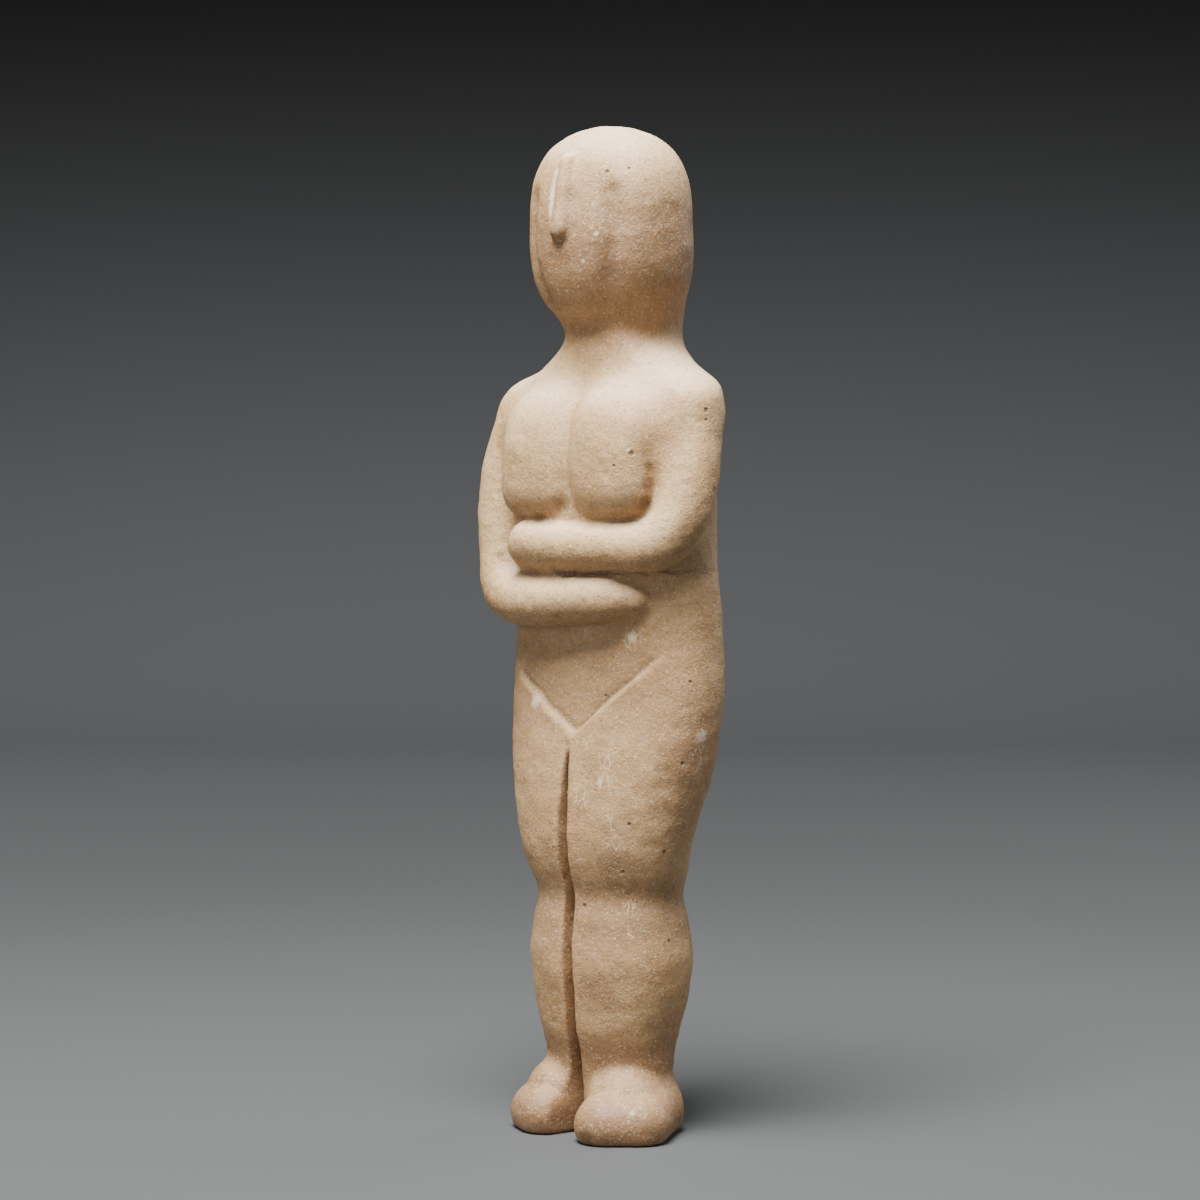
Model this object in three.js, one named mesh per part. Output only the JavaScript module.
// A standing marble figure with folded arms, carved from one piece.
// Millimetres, +Z up, +X towards the figure's own left, -Y towards its front.
// The origin lies under the middle of the figure, in the plane of its soles.
//
// The body is described by one function, stone(), which is negative inside the marble and
// positive outside it. It joins oval sections, round-ended limbs and egg-shaped swellings
// with soft blends, and cuts the slits out of them, in the order a carver would. The skin
// is then found by walking in from outside towards the spine at each height and angle.

import * as THREE from 'three';
import { ParametricGeometry } from 'three/addons/geometries/ParametricGeometry.js';
import * as BufferGeometryUtils from 'three/addons/utils/BufferGeometryUtils.js';

// Driving dimensions.
const HEIGHT = 320;
const HIP = 39.6;             // half the width at the hips
const THICKNESS = 20.8;       // half the depth of the trunk
const SQUARENESS = 2.25;      // 2 is an ellipse, more is squarer
const SLICES = 56;            // steps around the figure

// Oval sections from the soles up: height, half width, half depth, middle (towards the back).
const SECTIONS = [
  [0, 21.5, 15.0, -0.5],      // soles
  [25, 22.4, 15.7, -0.7],     // ankles
  [33, 24.0, 17.5, -0.8],
  [40, 26.0, 18.6, -0.6],
  [56, 28.3, 20.4, -0.4],     // calves
  [67, 26.8, 19.6, -0.4],
  [76, 25.6, 18.0, -0.8],     // knees
  [84, 28.5, 19.1, -2.0],
  [92, 30.4, 19.7, -3.1],
  [115, 36.4, 21.4, 0],       // thighs
  [140, HIP, THICKNESS, 3.0], // hips
  [158, 38.6, 20.2, 3.2],
  [190, 37.8, 21.6, 0.6],     // waist, behind the forearms
  [212, 38.3, 20.6, 0],
  [230, 40.0, 17.6, 1.2],     // shoulders
  [238, 38.3, 16.6, 2.6],
  [244, 28.0, 17.0, 4.2],
  [251, 20.0, 17.4, 5.5],     // neck
  [262, 18.6, 17.8, 5.9],
  [280, 19.0, 17.0, 3.2],     // inside the head
  [300, 12.0, 12.0, 0],
];
const COLUMN_END = 292;       // the neck's column fades out here, inside the head

// The head: an egg with a blunt crown, a shield-shaped face and a long straight nose.
const HEAD_HEIGHT = 285;      // of the widest part of the head
const HEAD = { middle: -0.4, halfWidth: 27.6, halfDepth: 23.8, up: HEIGHT - HEAD_HEIGHT, down: 29.8 };
const CROWN = { across: 2.1, upwards: 3.2, whole: 2.4 };   // powers, more is squarer
const JAW = { across: 2.2, upwards: 2.6, whole: 2.25 };
const FACE = { middle: [0, -12.2, 284], radii: [18.2, 13.4, 25] };
const NOSE = [[0, -20.8, 307, 2.4], [0, -25.0, 285.5, 3.3]];
const JAW_HOLLOW = [[16, -18.5, 296, 0], [17, -18, 286, 0], [15.5, -18.4, 273, 0], [13.5, -16.5, 261, 0]];
const JAW_HOLLOW_DEPTH = 1.3;
const JAW_HOLLOW_SPREAD = 3.8;

// Breasts: eggs with a long upper and a short lower end.
const BREAST = { side: 14.6, middle: -11, height: 209, radii: [15.8, 15.2], up: 26, down: 15, power: 2.8 };

// Arms from shoulder to hand: x, y, z and radius. The left forearm lies over the right one.
const LEFT_ARM = [
  [33.2, -1.5, 228, 9.4], [35.6, -5.0, 210, 9.6], [34.6, -8.6, 196, 9.4], [28.5, -14.0, 187.4, 8.8],
  [15, -18.4, 186.2, 7.9], [0, -19.8, 186.2, 7.7], [-17.6, -18.4, 187.2, 8.1],
];
const RIGHT_ARM = [
  [-33.8, -2.0, 228.4, 9.8], [-37.8, -6.2, 210, 9.6], [-37.4, -8.8, 186, 9.0], [-31.6, -13.0, 172, 8.9],
  [-17, -18.2, 169, 8.0], [0, -19.6, 169.8, 7.5], [12, -18.2, 170.2, 7.3], [20.5, -14.8, 170.4, 6.6],
];
const ARM_STEPS = 4;          // straight pieces between two points of an arm
const ARM_SLIT = [
  [-4, -22.5, 178.2, 0.3], [4, -22.6, 178.1, 1.0], [13, -21.8, 178, 1.0], [21, -20, 178.2, 0.4],
];

// Feet: a round heel, the instep, and a toe end without toes that fans out.
const RIGHT_FOOT = {
  heel: [-11.4, 0.5, 7.4, 14.2], instep: [-12.5, -9.2, 10.2, 12.4],
  inner: [-12, -18.3, 5.4, 9.8], outer: [-17.4, -15.2, 5.4, 9.6],
};
const LEFT_FOOT = {
  heel: [11.4, 0.5, 7.4, 14.2], instep: [13.5, -9.4, 9.8, 12.6],
  inner: [14.6, -19.8, 5.2, 10.4], outer: [22.8, -14.2, 5.2, 9.8],
};

// The V where the thighs stand a little proud of the belly: its point and its two slopes.
const BELLY_V = { side: 0.3, height: 127.8, rightSlope: 0.65, leftSlope: 0.86, step: 1.7, fade: 26, reach: 31 };

// The slits between the legs: height, line, front depth, half width at the front floor, back depth.
const SLITS = [
  [0, -1.2, 11, 2.2, 4.5], [20, -1.9, 12.4, 1.4, 5], [50, -1.5, 13, 0.9, 5], [75, -2.1, 13, 0.9, 5],
  [95, -1.9, 12.4, 0.9, 4.7], [110, -1.7, 10, 0.7, 4.2], [124, -1.4, 0, 0.3, 3.6], [165, 0, 0, 0.3, 0],
];
const FRONT_SLIT_TOP = 124;
const BACK_SLIT_TOP = 165;
const FRONT_FLARE = 0.08;     // how much each side of a slit opens for each millimetre outwards
const BACK_FLARE = 0.25;
const BACK_SLIT_FLOOR = 0.5;

// How softly forms run into each other. Where a blend has two values, it is softer higher up
// or further back.
const ROUNDING = {
  face: 1.4, nose: 1.8, head: [2.8, 7.8], breasts: [2.2, 10.2], arms: [1.8, 7.8], forearms: 5.5,
  armSlit: 0.8, feet: 2.6, slits: 1.4, sole: 1.6,
};

// Rings of the skin: ring number, and how far it has climbed along the figure's side. They
// are close at the feet, wide on the legs, closest on the arms, and end over the crown.
const DOME = 48;
const RINGS = [[0, 0], [10, 30], [28, 150], [61, 240], [73, HEAD_HEIGHT], [86, HEAD_HEIGHT + DOME]];
const STACKS = RINGS[RINGS.length - 1][0] + 1;
const BACK_STEP = 4;          // degrees, the narrow step beside the back slit
const OVAL_SPREAD = 1.3;      // draws the steps together at the sides of an oval
const LIP_ROOM = 1.3;         // how far past a slit's edge the next step lies
const WALK_START = 64;        // well outside the figure at every height and angle

// A smooth curve through each column of a table whose first column is the height.
function smoothTable(table) {
  const columns = table[0].length - 1;
  const heights = table.map((row) => row[0]);
  const values = table.flatMap((row) => row.slice(1));
  return new THREE.CubicInterpolant(heights, values, columns, new Float64Array(columns));
}

const sectionTable = smoothTable(SECTIONS);
const slitTable = smoothTable(SLITS);
const ringTable = smoothTable(RINGS);

// The lesser of two values, rounded over where they differ by less than the blend.
function softMin(a, b, blend) {
  const overlap = Math.max(blend - Math.abs(a - b), 0) / blend;
  return Math.min(a, b) - overlap * overlap * blend / 4;
}

function softMax(a, b, blend) {
  return -softMin(-a, -b, blend);
}

function ramp(value, low, high) {
  return THREE.MathUtils.clamp((value - low) / (high - low), 0, 1);
}

function between([low, high], share) {
  return THREE.MathUtils.lerp(low, high, share);
}

// Distance to an upright column whose section is a squarish oval.
function ovalColumn(x, y, halfWidth, halfDepth) {
  const across = Math.abs(x) / halfWidth;
  const along = Math.abs(y) / halfDepth;
  const reach = (across ** SQUARENESS + along ** SQUARENESS + 1e-12) ** (1 / SQUARENESS);
  if (reach < 0.15) return -0.85 * Math.min(halfWidth, halfDepth);
  const slopeX = across ** (SQUARENESS - 1) / halfWidth;
  const slopeY = along ** (SQUARENESS - 1) / halfDepth;
  const slope = Math.hypot(slopeX, slopeY) * reach ** (1 - SQUARENESS) + 1e-9;
  return (reach - 1) / slope;
}

// Distance, nearly, to an egg with three radii. A power of 2 is round, more is fuller.
function egg(x, y, z, middle, radii, power = 2) {
  const offsets = [x, y, z].map((place, axis) => Math.abs(place - middle[axis]) / radii[axis] + 1e-9);
  const reach = offsets.reduce((sum, offset) => sum + offset ** power, 0) ** (1 / power);
  const slope = Math.hypot(...offsets.map((offset, axis) => offset ** (power - 1) / radii[axis]));
  return (reach - 1) / (slope * reach ** (1 - power) + 1e-9);
}

// Distance to a chain of round-ended, tapering rods through points with a radius each.
function limb(x, y, z, chain) {
  let nearest = Infinity;
  for (let i = 0; i + 1 < chain.length; i += 1) {
    const [ax, ay, az, startRadius] = chain[i];
    const [bx, by, bz, endRadius] = chain[i + 1];
    const dx = bx - ax;
    const dy = by - ay;
    const dz = bz - az;
    const along = ((x - ax) * dx + (y - ay) * dy + (z - az) * dz) / (dx * dx + dy * dy + dz * dz);
    const t = THREE.MathUtils.clamp(along, 0, 1);
    const away = Math.hypot(x - ax - t * dx, y - ay - t * dy, z - az - t * dz);
    nearest = Math.min(nearest, away - THREE.MathUtils.lerp(startRadius, endRadius, t));
  }
  return nearest;
}

// An arm's points, with more put in between along a smooth curve.
function smoothArm(points) {
  const places = points.map(([x, y, z]) => new THREE.Vector3(x, y, z));
  const curve = new THREE.CatmullRomCurve3(places, false, 'catmullrom');
  const last = points.length - 1;
  return Array.from({ length: last * ARM_STEPS + 1 }, (_, i) => {
    const place = i / ARM_STEPS;
    const from = Math.min(Math.floor(place), last - 1);
    const radius = THREE.MathUtils.lerp(points[from][3], points[from + 1][3], place - from);
    return [...curve.getPoint(place / last).toArray(), radius];
  });
}

const leftArm = smoothArm(LEFT_ARM);
const rightArm = smoothArm(RIGHT_ARM);

function skull(x, y, z) {
  const out = Math.hypot(x / HEAD.halfWidth, (y - HEAD.middle) / HEAD.halfDepth);
  const [powers, reach] = z > HEAD_HEIGHT ? [CROWN, HEAD.up] : [JAW, HEAD.down];
  const sum = out ** powers.across + (Math.abs(z - HEAD_HEIGHT) / reach) ** powers.upwards;
  return ((sum + 1e-9) ** (1 / powers.whole) - 1) * HEAD.halfDepth;
}

function head(x, y, z) {
  const face = softMin(skull(x, y, z), egg(x, y, z, FACE.middle, FACE.radii), ROUNDING.face);
  const hollow = limb(Math.abs(x), y, z, JAW_HOLLOW) / JAW_HOLLOW_SPREAD;
  const hollowed = face + JAW_HOLLOW_DEPTH * Math.exp(-hollow * hollow);
  return softMin(hollowed, limb(x, y, z, NOSE), ROUNDING.nose);
}

function breast(x, y, z) {
  const radii = [...BREAST.radii, z > BREAST.height ? BREAST.up : BREAST.down];
  return egg(Math.abs(x), y, z, [BREAST.side, BREAST.middle, BREAST.height], radii, BREAST.power);
}

function foot(x, y, z, { heel, instep, inner, outer }) {
  return limb(x, y, z, [instep, heel, inner, outer, heel]);
}

// How far the belly lies behind the thighs, above the V.
function bellyStep(x, y, z) {
  const offset = x - BELLY_V.side;
  const above = z - BELLY_V.height - (offset > 0 ? BELLY_V.leftSlope * offset : -BELLY_V.rightSlope * offset);
  const edge = THREE.MathUtils.smoothstep(above, -1.5, 1.5);
  const fade = (1 - ramp(above, 0, BELLY_V.fade)) ** 2 * (1 - ramp(z, 158, 168));
  return BELLY_V.step * edge * fade * ramp(BELLY_V.reach - Math.abs(x), 0, 7) * ramp(-y, 4, 12);
}

// Negative inside the slits between the legs, in front and behind.
function slits(x, y, z, front, back) {
  const [line, frontDepth, frontHalf, backDepth] = slitTable.evaluate(z);
  const frontFloor = front + frontDepth;
  const frontOpening = frontHalf + FRONT_FLARE * Math.max(frontFloor - y, 0);
  const frontSlit = softMax(Math.abs(x - line) - frontOpening, y - frontFloor, 1);
  const backFloor = back - backDepth;
  const backOpening = BACK_SLIT_FLOOR + BACK_FLARE * Math.max(y - backFloor, 0);
  const backSlit = softMax(Math.abs(x) - backOpening, backFloor - y, 1);
  return Math.min(Math.max(frontSlit, z - FRONT_SLIT_TOP), Math.max(backSlit, z - BACK_SLIT_TOP));
}

// Distance to the figure's skin: negative inside the marble.
function stone(x, y, z) {
  const [halfWidth, halfDepth, middle] = sectionTable.evaluate(z);
  let skin = ovalColumn(x, y - middle, halfWidth, halfDepth) + Math.max(z - COLUMN_END, 0);
  if (z > 150 && z < 250) {
    skin = softMin(skin, breast(x, y, z), between(ROUNDING.breasts, ramp(z, 204, 226)));
    const arms = softMin(limb(x, y, z, leftArm), limb(x, y, z, rightArm), ROUNDING.forearms);
    skin = softMin(skin, arms, between(ROUNDING.arms, ramp(z, 205, 228)));
    skin = softMax(skin, -limb(x, y, z, ARM_SLIT), ROUNDING.armSlit);
  }
  if (z > 240) skin = softMin(skin, head(x, y, z), between(ROUNDING.head, ramp(y, -14, 2)));
  if (z < 40) {
    const feet = Math.min(foot(x, y, z, LEFT_FOOT), foot(x, y, z, RIGHT_FOOT));
    skin = softMin(skin, feet, ROUNDING.feet);
  }
  if (z < 170) {
    skin += bellyStep(x, y, z);
    skin = softMax(skin, -slits(x, y, z, middle - halfDepth, middle + halfDepth), ROUNDING.slits);
    skin = softMax(skin, -z, ROUNDING.sole);
  }
  return skin;
}

// The spine that the skin is measured from: it follows the line of the slit.
function spine(z) {
  const y = z > COLUMN_END ? HEAD.middle : sectionTable.evaluate(z)[2];
  const x = z < BACK_SLIT_TOP ? slitTable.evaluate(z)[0] : 0;
  return [x, y];
}

// How far the skin is from the spine: walk in from outside, then halve the last step.
function reachOfSkin(z, angle) {
  const [x, y] = spine(z);
  const across = Math.cos(angle);
  const along = Math.sin(angle);
  const at = (reach) => stone(x + reach * across, y + reach * along, z);
  let outside = WALK_START;
  let inside = outside;
  for (let step = 0; step < 40 && at(inside) > 1e-6; step += 1) {
    outside = inside;
    inside = Math.max(inside - Math.max(0.85 * at(inside), 0.02), 0);
  }
  for (let step = 0; step < 8; step += 1) {
    const middle = (inside + outside) / 2;
    if (at(middle) < 1e-6) inside = middle;
    else outside = middle;
  }
  return (inside + outside) / 2;
}

// Angle of a slice, from the back round by the right side to the front and on to the back
// again. The first step from the front stays in the slit, the second clears its lip, and the
// others are spread so that they come out nearly even on an oval.
function sliceAngle(slice, z) {
  const half = SLICES / 2;
  const steps = Math.abs(slice - half);
  const [, frontDepth, frontHalf] = slitTable.evaluate(z);
  const lip = frontHalf + FRONT_FLARE * frontDepth;
  const clear = THREE.MathUtils.radToDeg(LIP_ROOM * lip / THICKNESS) / OVAL_SPREAD + 1.5;
  const around = ramp(steps, 2, half - 1);
  let degrees = THREE.MathUtils.lerp(clear * Math.min(steps, 2) / 2, 180 - BACK_STEP, around);
  degrees += BACK_STEP * ramp(steps, half - 1, half);
  const even = THREE.MathUtils.degToRad(degrees);
  const turn = Math.atan2(OVAL_SPREAD * Math.sin(even), Math.cos(even));
  return -Math.PI / 2 + Math.sign(slice - half) * turn;
}

// Height of a ring: as climbed up to the widest part of the head, then a quarter turn over it.
function ringHeight(ring) {
  const climbed = ringTable.evaluate(ring)[0];
  if (climbed < HEAD_HEIGHT) return Math.max(climbed, 0);
  return HEAD_HEIGHT + HEAD.up * Math.sin((climbed - HEAD_HEIGHT) / DOME * Math.PI / 2);
}

// The skin as a surface of two parameters: around, and from the middle of the soles up.
function skinPoint(around, upwards, target) {
  const stack = upwards * STACKS;
  const z = ringHeight(Math.max(stack - 1, 0));
  const angle = sliceAngle(around * SLICES, z);
  const open = upwards === 1 ? 0 : Math.min(stack, 1);
  const reach = open * reachOfSkin(z, angle);
  const [x, y] = spine(z);
  target.set(x + reach * Math.cos(angle), y + reach * Math.sin(angle), z);
}

// Merges the seam and the two poles, and drops the triangles that vanish there.
function closeSkin(geometry) {
  geometry.deleteAttribute('normal');
  geometry.deleteAttribute('uv');
  const merged = BufferGeometryUtils.mergeVertices(geometry, 1e-4);
  const corners = Array.from(merged.index.array);
  const kept = [];
  for (let i = 0; i < corners.length; i += 3) {
    const [a, b, c] = corners.slice(i, i + 3);
    if (a !== b && b !== c && c !== a) kept.push(a, b, c);
  }
  merged.setIndex(kept);
  return merged;
}

// Moves the skin so that the middle of its box is over the origin.
function centre(geometry) {
  geometry.computeBoundingBox();
  const middle = geometry.boundingBox.getCenter(new THREE.Vector3());
  return geometry.translate(-middle.x, -middle.y, 0);
}

const marble = new THREE.MeshStandardMaterial({ color: 0xc3a27d, roughness: 0.7, metalness: 0 });

const skin = centre(closeSkin(new ParametricGeometry(skinPoint, SLICES, STACKS)));
skin.computeVertexNormals();
const figurine = new THREE.Mesh(skin, marble);
figurine.name = 'marble_figurine';

const group = new THREE.Group();
group.add(figurine);

export default group;
